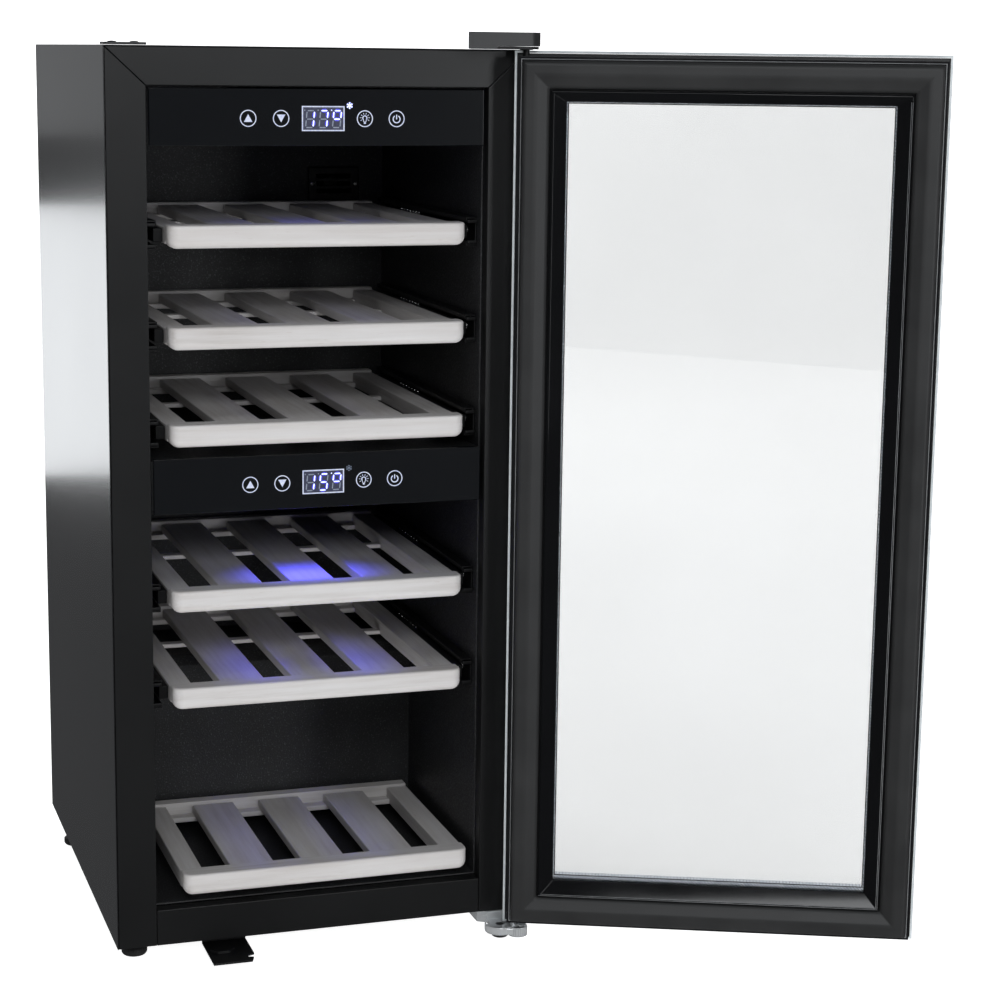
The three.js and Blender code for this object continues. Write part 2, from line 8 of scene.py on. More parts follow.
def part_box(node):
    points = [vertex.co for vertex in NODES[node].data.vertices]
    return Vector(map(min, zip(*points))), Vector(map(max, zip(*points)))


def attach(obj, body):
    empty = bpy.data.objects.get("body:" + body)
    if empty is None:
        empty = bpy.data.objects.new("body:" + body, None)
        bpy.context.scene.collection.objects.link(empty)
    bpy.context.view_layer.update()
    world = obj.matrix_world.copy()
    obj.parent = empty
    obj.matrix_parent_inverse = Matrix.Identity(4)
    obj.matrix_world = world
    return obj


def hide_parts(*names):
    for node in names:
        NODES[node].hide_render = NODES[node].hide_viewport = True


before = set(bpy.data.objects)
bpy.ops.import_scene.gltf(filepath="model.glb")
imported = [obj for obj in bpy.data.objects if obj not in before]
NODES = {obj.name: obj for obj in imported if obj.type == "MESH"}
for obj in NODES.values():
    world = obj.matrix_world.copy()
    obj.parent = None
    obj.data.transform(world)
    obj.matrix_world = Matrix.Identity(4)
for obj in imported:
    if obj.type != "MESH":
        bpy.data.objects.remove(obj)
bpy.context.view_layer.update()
MM = 0.001

HINGE = Vector((0.189, -0.2475, 0.0))
OPEN = math.radians(157)
GLASS_EDGE = 0.011
DOOR_WIDTH = 0.400
DOOR_BOTTOM = -0.0075
DOOR_TOP = 0.8393
WINDOW_RISE = 0.004
# Placement of thin light strips on the bezel's free side and bottom; their colour is a painted highlight.
GLINT_INSET = 0.0366
GLINT_STEPS = (0.0, 0.0013)
GLINT_WIDTH = 0.0004
GLINT_TOP_GAP = 0.042


# ---------------------------------------------------------------- node helpers
def new_material(name):
    mat = bpy.data.materials.new(name)
    mat.use_nodes = True
    tree = mat.node_tree
    tree.nodes.clear()
    out = tree.nodes.new("ShaderNodeOutputMaterial")
    shader = tree.nodes.new("ShaderNodeBsdfPrincipled")
    tree.links.new(shader.outputs["BSDF"], out.inputs["Surface"])
    return mat, tree, shader


def coords(tree, scale=(1, 1, 1)):
    tex = tree.nodes.new("ShaderNodeTexCoord")
    mapping = tree.nodes.new("ShaderNodeMapping")
    mapping.inputs["Scale"].default_value = scale
    tree.links.new(tex.outputs["Object"], mapping.inputs["Vector"])
    return mapping.outputs["Vector"]


def noise(tree, vector, scale, detail=3.0, rough=0.5):
    node = tree.nodes.new("ShaderNodeTexNoise")
    node.inputs["Scale"].default_value = scale
    node.inputs["Detail"].default_value = detail
    node.inputs["Roughness"].default_value = rough
    tree.links.new(vector, node.inputs["Vector"])
    return node.outputs["Fac"]


def ramp(tree, fac, stops):
    node = tree.nodes.new("ShaderNodeValToRGB")
    tree.links.new(fac, node.inputs["Fac"])
    elements = node.color_ramp.elements
    while len(elements) < len(stops):
        elements.new(0.5)
    for element, (pos, colour) in zip(elements, stops):
        element.position = pos
        element.color = (*colour, 1) if len(colour) == 3 else colour
    return node.outputs["Color"]


def span(tree, fac, low, high, a=0.0, b=1.0):
    node = tree.nodes.new("ShaderNodeMapRange")
    node.inputs["From Min"].default_value = a
    node.inputs["From Max"].default_value = b
    node.inputs["To Min"].default_value = low
    node.inputs["To Max"].default_value = high
    tree.links.new(fac, node.inputs["Value"])
    return node.outputs["Result"]


def math_node(tree, kind, a, b=None):
    node = tree.nodes.new("ShaderNodeMath")
    node.operation = kind
    for socket, value in zip(node.inputs, (a, b)):
        if value is None:
            continue
        if isinstance(value, (int, float)):
            socket.default_value = value
        else:
            tree.links.new(value, socket)
    return node.outputs["Value"]


def mix_colour(tree, fac, a, b):
    node = tree.nodes.new("ShaderNodeMix")
    node.data_type = "RGBA"
    sockets = {"fac": node.inputs[0], "a": node.inputs[6], "b": node.inputs[7]}
    for key, value in (("fac", fac), ("a", a), ("b", b)):
        if isinstance(value, (int, float)):
            sockets[key].default_value = value
        elif isinstance(value, tuple):
            sockets[key].default_value = (*value, 1)
        else:
            tree.links.new(value, sockets[key])
    return node.outputs[2]


def bump(tree, shader, height, strength, distance):
    node = tree.nodes.new("ShaderNodeBump")
    node.inputs["Strength"].default_value = strength
    node.inputs["Distance"].default_value = distance
    tree.links.new(height, node.inputs["Height"])
    tree.links.new(node.outputs["Normal"], shader.inputs["Normal"])
    return node


def surface(name, dark, light, rough, patch=9.0, grain=900.0, grain_mm=0.02, metallic=0.0,
            coat=0.0, specular=0.5, stretch=(1, 1, 1)):
    """Mottled colour, uneven roughness and a fine grain, at sizes given per metre."""
    mat, tree, shader = new_material(name)
    vector = coords(tree, stretch)
    broad = noise(tree, vector, patch, 4.0, 0.6)
    fine = noise(tree, vector, grain, 2.0, 0.5)
    broad_part = math_node(tree, "MULTIPLY", broad, 0.7)
    fine_part = math_node(tree, "MULTIPLY", fine, 0.3)
    both = math_node(tree, "ADD", broad_part, fine_part)
    tree.links.new(ramp(tree, both, [(0.3, dark), (0.7, light)]), shader.inputs["Base Color"])
    tree.links.new(span(tree, both, rough[0], rough[1], 0.3, 0.7), shader.inputs["Roughness"])
    bump(tree, shader, fine, 0.5, grain_mm * MM)
    shader.inputs["Metallic"].default_value = metallic
    shader.inputs["Specular IOR Level"].default_value = specular
    shader.inputs["Coat Weight"].default_value = coat
    shader.inputs["Coat Roughness"].default_value = 0.12
    return mat


def wood(name, along):
    """Pale beech: long soft streaks along one axis, short darker flecks and sanded pores."""
    mat, tree, shader = new_material(name)
    long = [1.0, 1.0, 1.0]
    long[along] = 0.045
    vector = coords(tree, tuple(long))
    streak = noise(tree, vector, 150.0, 6.0, 0.62)
    band = noise(tree, vector, 26.0, 3.0, 0.5)
    flecks = [1.0, 1.0, 1.0]
    flecks[along] = 0.16
    fleck = noise(tree, coords(tree, tuple(flecks)), 520.0, 2.0, 0.5)
    patch = noise(tree, coords(tree), 6.0, 2.0, 0.5)
    stops = [(0.25, (0.45, 0.42, 0.40)), (0.5, (0.565, 0.545, 0.535)), (0.75, (0.63, 0.62, 0.62))]
    base = ramp(tree, streak, stops)
    warm = mix_colour(tree, span(tree, band, 0.0, 0.32, 0.35, 0.7), base, (0.53, 0.49, 0.465))
    tone = mix_colour(tree, span(tree, patch, 0.0, 0.2, 0.4, 0.65), warm, (0.67, 0.665, 0.665))
    dots = mix_colour(tree, span(tree, fleck, 0.0, 0.35, 0.66, 0.78), tone, (0.40, 0.32, 0.27))
    tree.links.new(dots, shader.inputs["Base Color"])
    tree.links.new(span(tree, streak, 0.62, 0.42, 0.3, 0.7), shader.inputs["Roughness"])
    height = math_node(tree, "ADD", streak, math_node(tree, "MULTIPLY", fleck, -0.4))
    bump(tree, shader, height, 0.35, 0.05 * MM)
    shader.inputs["Specular IOR Level"].default_value = 0.35
    return mat


def glow(name, colour, edge, strength, base=(0.02, 0.02, 0.03)):
    """A lit symbol: its light is a little uneven, as behind a printed film."""
    mat, tree, shader = new_material(name)
    fac = noise(tree, coords(tree), 700.0, 2.0, 0.5)
    colour_out = ramp(tree, fac, [(0.3, edge), (0.62, colour)])
    tree.links.new(colour_out, shader.inputs["Emission Color"])
    shader.inputs["Emission Strength"].default_value = strength
    lighter = tuple(min(1, c * 1.6) for c in base)
    tree.links.new(ramp(tree, fac, [(0.3, base), (0.7, lighter)]), shader.inputs["Base Color"])
    tree.links.new(span(tree, fac, 0.25, 0.4), shader.inputs["Roughness"])
    return mat


GLASS_IOR = 1.45


def clear_glass(name, tint):
    mat, tree, shader = new_material(name)
    fac = noise(tree, coords(tree), 5.0, 3.0, 0.5)
    low = tuple(c * 0.985 for c in tint)
    tree.links.new(ramp(tree, fac, [(0.3, low), (0.7, tint)]), shader.inputs["Base Color"])
    tree.links.new(span(tree, fac, 0.0, 0.004), shader.inputs["Roughness"])
    shader.inputs["Transmission Weight"].default_value = 1.0
    shader.inputs["IOR"].default_value = GLASS_IOR
    return mat


# ---------------------------------------------------------------- mesh helpers
def put(name, bm, mat, body=None):
    """A mesh object made from bm. One with a body rides on it."""
    mesh = bpy.data.meshes.new(name)
    bmesh.ops.recalc_face_normals(bm, faces=bm.faces)
    bm.to_mesh(mesh)
    bm.free()
    obj = bpy.data.objects.new(name, mesh)
    bpy.context.scene.collection.objects.link(obj)
    mesh.materials.append(mat)
    if body is not None:
        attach(obj, body)
    return obj


def turned(axis, a, b, c):
    """The point with c along the axis, and a and b along the two others in X, Y, Z order."""
    return {"X": (c, a, b), "Y": (a, c, b), "Z": (a, b, c)}[axis]


def add_prism(bm, points, low, high, axis="Z"):
    """Adds an outline swept along an axis. Points are the two other axes, in X, Y, Z order."""
    rings = [[bm.verts.new(turned(axis, a, b, c)) for a, b in points] for c in (low, high)]
    count = len(points)
    bm.faces.new(rings[0])
    bm.faces.new(list(reversed(rings[1])))
    for i in range(count):
        j = (i + 1) % count
        bm.faces.new((rings[0][i], rings[1][i], rings[1][j], rings[0][j]))


def add_box(bm, low, high):
    points = [(low[0], low[1]), (high[0], low[1]), (high[0], high[1]), (low[0], high[1])]
    add_prism(bm, points, low[2], high[2])


def polar(x, y, reach, degrees):
    t = math.radians(degrees)
    return x + reach * math.cos(t), y + reach * math.sin(t)


def circle(cx, cy, r, sides):
    turns = [2 * math.pi * i / sides for i in range(sides)]
    return [(cx + r * math.cos(t), cy + r * math.sin(t)) for t in turns]


def add_ring(bm, cx, cy, outer, inner, low, high, axis, sides=40, arc=(0.0, 2 * math.pi)):
    """An annulus, or a part of one, swept along an axis."""
    full = arc[1] - arc[0] > 2 * math.pi - 1e-6
    steps = sides if full else sides + 1
    loops = []
    for i in range(steps):
        t = arc[0] + (arc[1] - arc[0]) * i / sides
        co, si = math.cos(t), math.sin(t)
        loops.append([bm.verts.new(turned(axis, cx + r * co, cy + r * si, c))
                      for r, c in ((outer, low), (outer, high), (inner, high), (inner, low))])
    for i in range(sides):
        a, b = loops[i], loops[(i + 1) % steps]
        for k in range(4):
            bm.faces.new((a[k], b[k], b[(k + 1) % 4], a[(k + 1) % 4]))
    if not full:
        bm.faces.new(loops[0])
        bm.faces.new(list(reversed(loops[-1])))


DOME_SIDES = 18
DOME_RINGS = 4


def add_dome(bm, centre, radius, height, axis, sign=1):
    """A low dome that stands on a plane and faces along an axis."""
    def vert(reach, turn, rise):
        a = centre[0] + reach * math.cos(turn)
        b = centre[1] + reach * math.sin(turn)
        return bm.verts.new(turned(axis, a, b, centre[2] + sign * rise))
    loops = []
    for k in range(DOME_RINGS):
        t = k / DOME_RINGS * math.pi / 2
        turns = [2 * math.pi * i / DOME_SIDES for i in range(DOME_SIDES)]
        loops.append([vert(radius * math.cos(t), turn, height * math.sin(t)) for turn in turns])
    top = vert(0, 0, height)
    bm.faces.new(list(reversed(loops[0])))
    for i in range(DOME_SIDES):
        j = (i + 1) % DOME_SIDES
        for a, b in zip(loops, loops[1:]):
            bm.faces.new((a[i], a[j], b[j], b[i]))
        bm.faces.new((loops[-1][i], loops[-1][j], top))


def smooth(obj, width=0.0008, segments=3, angle=32, weld=False):
    """Rounded edges whose flats stay flat."""
    mesh = obj.data
    if "custom_normal" in mesh.attributes:
        mesh.attributes.remove(mesh.attributes["custom_normal"])
    mesh.shade_smooth()
    if weld:
        m = obj.modifiers.new("weld", "WELD")
        m.merge_threshold = 0.00002
        d = obj.modifiers.new("flats", "DECIMATE")
        d.decimate_type = "DISSOLVE"
        d.angle_limit = math.radians(1.0)
    if width > 0:
        b = obj.modifiers.new("edges", "BEVEL")
        b.width = width
        b.segments = segments
        b.limit_method = "ANGLE"
        b.angle_limit = math.radians(angle)
        b.use_clamp_overlap = True
        b.harden_normals = False
    w = obj.modifiers.new("flat_normals", "WEIGHTED_NORMAL")
    w.mode = "FACE_AREA_WITH_ANGLE"
    w.keep_sharp = False
    w.weight = 80


def dress(node, mat, width=0.0006, segments=2, angle=32):
    obj = NODES[node]
    obj.data.materials.clear()
    obj.data.materials.append(mat)
    smooth(obj, width, segments, angle, weld=True)
    return obj


def door_piece(bm):
    """Turns a piece drawn with the door shut to where the door rests."""
    turn = Matrix.Rotation(OPEN, 3, "Z")
    for vert in bm.verts:
        vert.co = HINGE + turn @ (vert.co - HINGE)
    return bm


def door_rect(inset, rise=0.0):
    right = HINGE.x + GLASS_EDGE - inset
    left = HINGE.x + GLASS_EDGE - DOOR_WIDTH + inset
    low, high = DOOR_BOTTOM + inset + rise, DOOR_TOP - inset + rise
    return [(left, low), (right, low), (right, high), (left, high)]


def add_door_ring(bm, profile):
    """A mitred ring round the door: each profile point is (inset from the glass edge, outwards, rise)."""
    loops = [[bm.verts.new((x, HINGE.y - v, z)) for x, z in door_rect(m, *rise)] for m, v, *rise in profile]
    count = len(profile)
    for i in range(count):
        a, b = loops[i], loops[(i + 1) % count]
        for k in range(4):
            n = (k + 1) % 4
            bm.faces.new((a[k], a[n], b[n], b[k]))


# ---------------------------------------------------------------- materials
SHELL = surface("shell_paint", (0.005, 0.0052, 0.006), (0.007, 0.0072, 0.008), (0.24, 0.27),
                2.5, 420.0, 0.002, coat=0.15)
SATIN = surface("satin_rail", (0.0035, 0.0036, 0.0038), (0.006, 0.0061, 0.0064), (0.34, 0.40),
                7.0, 1300.0, 0.008, specular=0.42)
HOOD = surface("hood_plastic", (0.016, 0.0165, 0.0175), (0.024, 0.0245, 0.0255), (0.34, 0.42),
               20.0, 1300.0, 0.012)


def liner_material():
    """Black plastic with a coarse grain, whose tips are painted lighter as glints of light."""
    mat, tree, shader = new_material("liner_grain_and_glints")
    vector = coords(tree)
    broad = noise(tree, vector, 12.0, 4.0, 0.6)
    fine = noise(tree, vector, 620.0, 2.0, 0.6)
    base = ramp(tree, broad, [(0.3, (0.009, 0.0092, 0.0099)), (0.7, (0.017, 0.0173, 0.0185))])
    # Lighter colour on the fine grain's peaks: painted glints, in place of sparkle from the lights.
    painted_glints = span(tree, fine, 0.0, 0.55, 0.58, 0.74)
    tree.links.new(mix_colour(tree, painted_glints, base, (0.12, 0.122, 0.13)), shader.inputs["Base Color"])
    tree.links.new(span(tree, fine, 0.55, 0.36, 0.35, 0.7), shader.inputs["Roughness"])
    bump(tree, shader, fine, 0.6, 0.45 * MM)
    return mat


LINER = liner_material()
GLOSS = surface("gloss_black", (0.004, 0.0042, 0.005), (0.008, 0.0084, 0.0095), (0.13, 0.19),
                8.0, 500.0, 0.003, coat=0.3)
FASCIA = surface("fascia_glass", (0.003, 0.0036, 0.0046), (0.0045, 0.005, 0.0062), (0.05, 0.09),
                 6.0, 300.0, 0.001, coat=0.3)
GASKET = surface("gasket_vinyl", (0.018, 0.0183, 0.0187), (0.029, 0.0293, 0.0297), (0.42, 0.54),
                 16.0, 1500.0, 0.01, specular=0.35)
BEZEL = surface("bezel_gloss", (0.0025, 0.0026, 0.003), (0.0045, 0.0047, 0.0053), (0.05, 0.09),
                8.0, 500.0, 0.002, specular=0.25)
RUBBER = surface("foot_rubber", (0.010, 0.010, 0.0105), (0.018, 0.018, 0.0185), (0.55, 0.7),
                 40.0, 1600.0, 0.03)
ZINC = surface("cast_zinc", (0.74, 0.76, 0.77), (0.90, 0.91, 0.92), (0.16, 0.24),
               24.0, 900.0, 0.004, metallic=0.6)
STEEL = surface("drawn_steel", (0.45, 0.455, 0.46), (0.62, 0.625, 0.63), (0.22, 0.34),
                30.0, 1800.0, 0.012, metallic=0.85, stretch=(1, 1, 0.05))
RUNNER = surface("runner_paint", (0.0032, 0.0032, 0.0035), (0.0058, 0.0058, 0.0062), (0.36, 0.48),
                 20.0, 1100.0, 0.012, specular=0.3)
# Light grey for the thin bezel strips and the gasket lip: a painted highlight in place of edge reflections of
# the lights.
PAINTED_GLINT = surface("bezel_painted_glint", (0.16, 0.165, 0.17), (0.26, 0.265, 0.27), (0.2, 0.3), 60.0, 1400.0, 0.01)
RAW_EDGE = surface("ground_edge", (0.60, 0.64, 0.66), (0.82, 0.86, 0.87), (0.25, 0.4), 90.0, 1500.0, 0.01)
PLATED = surface("plated_screw", (0.50, 0.50, 0.50), (0.72, 0.72, 0.72), (0.2, 0.3),
                 100.0, 1500.0, 0.01, metallic=0.85)
POT = surface("compressor_paint", (0.008, 0.008, 0.009), (0.017, 0.017, 0.018), (0.3, 0.45),
              18.0, 700.0, 0.04)
LENS = surface("lens_diffuser", (0.55, 0.57, 0.66), (0.70, 0.72, 0.82), (0.3, 0.42), 30.0, 1100.0, 0.02)
BEECH_X = wood("beech_crosswise", 0)
BEECH_Y = wood("beech_lengthwise", 1)
PANE = clear_glass("pane_glass", (0.782, 0.786, 0.786))
LIT = glow("symbol_light", (0.80, 0.86, 1.0), (0.55, 0.62, 0.95), 0.85)
SEGMENT = glow("digit_light", (0.60, 0.66, 1.0), (0.36, 0.40, 1.0), 2.2)
HALO = glow("digit_halo", (0.04, 0.04, 0.75), (0.025, 0.02, 0.48), 1.1)
GHOST = glow("digit_ghost", (0.27, 0.31, 0.38), (0.19, 0.23, 0.30), 0.95)
WINDOW = glow("display_window", (0.012, 0.018, 0.055), (0.008, 0.011, 0.030), 0.8)
DIODE = glow("diode_light", (0.30, 0.32, 1.0), (0.14, 0.13, 0.95), 10.0)
DIM = glow("symbol_dim", (0.16, 0.20, 0.27), (0.10, 0.13, 0.18), 0.9)


def frit_material():
    mat, tree, shader = new_material("printed_border")
    vector = coords(tree)
    fac = noise(tree, vector, 14.0, 3.0, 0.5)
    ink = ramp(tree, fac, [(0.3, (0.003, 0.003, 0.0035)), (0.7, (0.007, 0.007, 0.008))])
    tree.links.new(ink, shader.inputs["Base Color"])
    tree.links.new(span(tree, fac, 0.25, 0.4), shader.inputs["Roughness"])
    bump(tree, shader, noise(tree, vector, 1800.0, 1.0, 0.5), 0.3, 0.004 * MM)
    return mat


HOLE_PITCH = 0.0032


def spacer_material():
    """A bright bar with a row of small breathing perforations along it; their dark colour is painted shade.
    """
    mat, tree, shader = new_material("spacer_bar")
    tex = tree.nodes.new("ShaderNodeTexCoord")
    parts = tree.nodes.new("ShaderNodeSeparateXYZ")
    tree.links.new(tex.outputs["Object"], parts.inputs["Vector"])
    along = math_node(tree, "ADD", math_node(tree, "MULTIPLY", parts.outputs["X"], math.cos(OPEN - math.pi)),
                      math_node(tree, "MULTIPLY", parts.outputs["Y"], math.sin(OPEN - math.pi)))
    total = math_node(tree, "ADD", along, parts.outputs["Z"])
    wave = math_node(tree, "SINE", math_node(tree, "MULTIPLY", total, 2 * math.pi / HOLE_PITCH))
    fac = noise(tree, coords(tree), 200.0, 3.0, 0.5)
    metal = ramp(tree, fac, [(0.3, (0.50, 0.56, 0.64)), (0.7, (0.78, 0.82, 0.88))])
    # Dark colour in each perforation: painted shade inside the holes.
    hole_shade = mix_colour(tree, span(tree, wave, 0.0, 0.75, 0.35, 0.8), metal, (0.16, 0.18, 0.22))
    tree.links.new(hole_shade, shader.inputs["Base Color"])
    tree.links.new(span(tree, fac, 0.25, 0.4), shader.inputs["Roughness"])
    bump(tree, shader, wave, 0.5, 0.15 * MM)
    shader.inputs["Metallic"].default_value = 0.75
    return mat


ARM = surface("hinge_arm", (0.62, 0.64, 0.65), (0.78, 0.80, 0.81), (0.2, 0.3),
              24.0, 900.0, 0.004, metallic=0.62)
FRIT = frit_material()
SPACER = spacer_material()


# ---------------------------------------------------------------- carried-over pieces
def dress_cabinet():
    dress("outer_shell", SHELL, 0.0004, 2)
    dress("base_pan", SHELL, 0.0003, 2)
    dress("rear_panel", SHELL, 0.0003, 2)
    dress("compressor_cover", SATIN, 0.0004, 2)
    dress("cable_gland", RUBBER, 0.0008, 2)
    dress("inner_liner", LINER, 0.0009, 3)
    for name in ("frame_left", "frame_right", "frame_top", "frame_bottom"):
        dress(name, SATIN, 0.0003, 2, 20)
    for name in ("upper_control_fascia", "lower_control_fascia"):
        dress(name, FASCIA, 0.0003, 2, 20)
    dress("control_box", LINER, 0.0008, 2)
    dress("zone_divider", LINER, 0.0006, 2)
    dress("upper_light_lens", LENS, 0.0008, 3)
    dress("lower_light_lens", LENS, 0.0008, 3)
    dress("upper_fan_grille", SATIN, 0.0005, 2)
    dress("lower_fan_grille", SATIN, 0.0005, 2)
    dress("upper_fan_rotor", RUNNER, 0.0002, 2)
    dress("lower_fan_rotor", RUNNER, 0.0002, 2)
    dress("hinge_hole_cover", HOOD, 0.0006, 3)
    dress("top_hinge_cover", HOOD, 0.0012, 3)
    dress("top_hinge_bracket", RUNNER, 0.0006, 2)
    dress("bottom_hinge_bracket", ARM, 0.0012, 3)
    dress("lock_strike_plate", RUNNER, 0.0005, 2)
    dress("compressor", POT, 0.0015, 3)
    for name in ("front_left_foot", "back_left_foot", "back_right_foot", "front_right_foot"):
        dress(name, RUBBER, 0.0006, 2)


def dress_door():
    dress("outer_glass", PANE, 0.0)
    dress("inner_glass", PANE, 0.0)
    dress("door_frame", GLOSS, 0.0007, 2)
    dress("glass_spacer", SPACER, 0.0003, 2)
    dress("door_gasket", GASKET, 0.0009, 3, 12)
    dress("door_bezel", BEZEL, 0.0007, 3, 12)
    dress("door_handle", STEEL, 0.0012, 3)


BOARD_NOSE = 0.0085
BOARD_CORNER = 0.0095
BOARD_CROWN = 0.0022
NOSE_STEPS = 6
CROWN_STEPS = 3
CORNER_STEPS = 5
SHARP_CORNER = 0.0008


def board_levels(bottom, top):
    """Heights of a board's outlines with how far each is drawn in: the nose below, the crown above."""
    levels = []
    for k in range(NOSE_STEPS, -1, -1):
        t = math.pi / 2 * k / NOSE_STEPS
        levels.append((bottom + BOARD_NOSE * (1 - math.sin(t)), BOARD_NOSE * (1 - math.cos(t))))
    for k in range(CROWN_STEPS + 1):
        t = math.pi / 2 * k / CROWN_STEPS
        levels.append((top - BOARD_CROWN * (1 - math.sin(t)), BOARD_CROWN * (1 - math.cos(t))))
    return levels


def board_plan(x0, x1, y0, back, radius):
    """A plan whose two front corners are round."""
    plan = [(x0, back)]
    for centre, start in ((x0 + radius, math.pi), (x1 - radius, 1.5 * math.pi)):
        for k in range(CORNER_STEPS + 1):
            t = start + math.pi / 2 * k / CORNER_STEPS
            plan.append((centre + radius * math.cos(t), y0 + radius + radius * math.sin(t)))
    return [*plan, (x1, back)]


def front_board(n):
    """A board whose rounded lower nose runs round both of its front corners."""
    low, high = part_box(f"shelf_{n}_front")
    bm = bmesh.new()
    loops = []
    for z, inset in board_levels(low[2], high[2]):
        radius = max(BOARD_CORNER - inset, SHARP_CORNER)
        plan = board_plan(low[0] + inset, high[0] - inset, low[1] + inset, high[1], radius)
        loops.append([bm.verts.new((x, y, z)) for x, y in plan])
    count = len(loops[0])
    for a, b in zip(loops, loops[1:]):
        for i in range(count):
            j = (i + 1) % count
            bm.faces.new((a[i], a[j], b[j], b[i]))
    bm.faces.new(list(reversed(loops[0])))
    bm.faces.new(loops[-1])
    board = put(f"shelf_{n}_board", bm, BEECH_X, f"shelf_{n}")
    smooth(board, 0.0004, 2, 60)
    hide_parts(f"shelf_{n}_front")


def dress_shelves():
    for n in range(1, 7):
        front_board(n)
        if n < 6:
            dress(f"slide_{n}_left", RUNNER, 0.0004, 2)
            dress(f"slide_{n}_right", RUNNER, 0.0004, 2)


# ---------------------------------------------------------------- shelves and slides
SLAT_OFFSETS = (-0.07, 0.0, 0.07)
SLAT_HALF = 0.0215
SLAT_DROP = 0.003
SLAT_THICK = 0.009
SLAT_END = 0.0172
DECK_HALF = 0.1407
MEMBER_INNER = 0.11875
BAR_HALF = 0.1186
BAR_BOTTOM = 0.0175
BAR_FRONT = 0.008
BAR_BACK = (0.028, 0.0145)
LAST_BAR = 0.0142
MIDDLE_BAR_Y = (-0.010, 0.002)


def deck_slats(n, centre, front, back, top):
    slat_top = top - SLAT_DROP
    slats = bmesh.new()
    for offset in SLAT_OFFSETS:
        x = centre + offset
        add_box(slats, (x - SLAT_HALF, front + 0.0005, slat_top - SLAT_THICK),
                (x + SLAT_HALF, back - SLAT_END, slat_top))
    for side in (-1, 1):
        edge = sorted((centre + side * MEMBER_INNER, centre + side * DECK_HALF))
        add_box(slats, (edge[0], front, top - 0.018), (edge[1], back - BAR_BACK[1], slat_top))
    deck = put(f"shelf_{n}_slats", slats, BEECH_Y, f"shelf_{n}")
    smooth(deck, 0.0013, 3)
    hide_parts(f"shelf_{n}_deck")


def deck_bars(n, centre, front, back, top):
    left, right = centre - BAR_HALF, centre + BAR_HALF
    bottom = top - BAR_BOTTOM
    under = top - SLAT_DROP - SLAT_THICK - 0.0002
    bars = bmesh.new()
    add_box(bars, (left, front, bottom), (right, front + BAR_FRONT, under))
    add_box(bars, (left, back - BAR_BACK[0], bottom), (right, back - BAR_BACK[1], under))
    add_box(bars, (centre - DECK_HALF + 0.0002, back - LAST_BAR, top - 0.0188),
            (centre + DECK_HALF - 0.0002, back, top - 0.0006))
    if n < 6:
        add_box(bars, (left, MIDDLE_BAR_Y[0], bottom + 0.001), (right, MIDDLE_BAR_Y[1], under))
    rails = put(f"shelf_{n}_bars", bars, BEECH_X, f"shelf_{n}")
    smooth(rails, 0.0011, 3)
    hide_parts(f"shelf_{n}_deck")


def shelf_decks():
    for n in range(1, 7):
        low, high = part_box(f"shelf_{n}_deck")
        centre = (low[0] + high[0]) / 2
        top = high[2] + 0.0005
        deck_slats(n, centre, low[1], high[1], top)
        deck_bars(n, centre, low[1], high[1], top)


RUNNER_HALF = 0.0062
RUNNER_INNER = 0.1412
BALLS = {"count": 7, "first": 0.02, "pitch": 0.0105, "radius": 0.0012, "offset": 0.0072}
CLIP_DEPTH = 0.0030
CLIP_SPANS = ((-0.0115, -0.0080), (0.0080, 0.0115))
SCREW_Y = (-0.175, -0.06, 0.085)


def slide_runner(n, word, side, lip, low, high, mid):
    runner = bmesh.new()
    a, b = sorted((side * RUNNER_INNER, lip + side * 0.0022))
    add_box(runner, (a, low[1] + 0.004, mid - RUNNER_HALF), (b, high[1] - 0.012, mid + RUNNER_HALF))
    smooth(put(f"runner_{n}_{word}", runner, RUNNER, f"shelf_{n}"), 0.0007, 2)


def slide_bearing(n, word, side, lip, mid):
    balls = bmesh.new()
    for k in range(BALLS["count"]):
        y = BALLS["first"] - BALLS["pitch"] * k
        for z in (mid + BALLS["offset"], mid - BALLS["offset"]):
            place = Matrix.Translation((lip + side * 0.0001, y, z))
            bmesh.ops.create_icosphere(balls, subdivisions=2, radius=BALLS["radius"], matrix=place)
    put(f"bearing_{n}_{word}", balls, PLATED, "cabinet").data.shade_smooth()


def slide_clip(n, word, side, lip, wall, front, mid):
    clip = bmesh.new()
    a, b = sorted((wall - side * 0.0002, lip + side * 0.0004))
    for z0, z1 in CLIP_SPANS:
        add_box(clip, (a, front - CLIP_DEPTH, mid + z0), (b, front - 0.0004, mid + z1))
    smooth(put(f"clip_{n}_{word}", clip, RUNNER, "cabinet"), 0.0009, 3)


def slide_screws(n, word, side, wall, mid):
    screws = bmesh.new()
    for y in SCREW_Y:
        add_dome(screws, (y, mid, wall - side * 0.0016), 0.0035, 0.0016, "X", sign=-side)
    put(f"screws_{n}_{word}", screws, PLATED, "cabinet").data.shade_smooth()


def slide_members():
    for n in range(1, 6):
        for side, word in ((-1, "left"), (1, "right")):
            low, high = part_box(f"slide_{n}_{word}")
            mid = (low[2] + high[2]) / 2
            wall, lip = (high[0], low[0]) if side > 0 else (low[0], high[0])
            slide_runner(n, word, side, lip, low, high, mid)
            slide_bearing(n, word, side, lip, mid)
            slide_clip(n, word, side, lip, wall, low[1], mid)
            slide_screws(n, word, side, wall, mid)


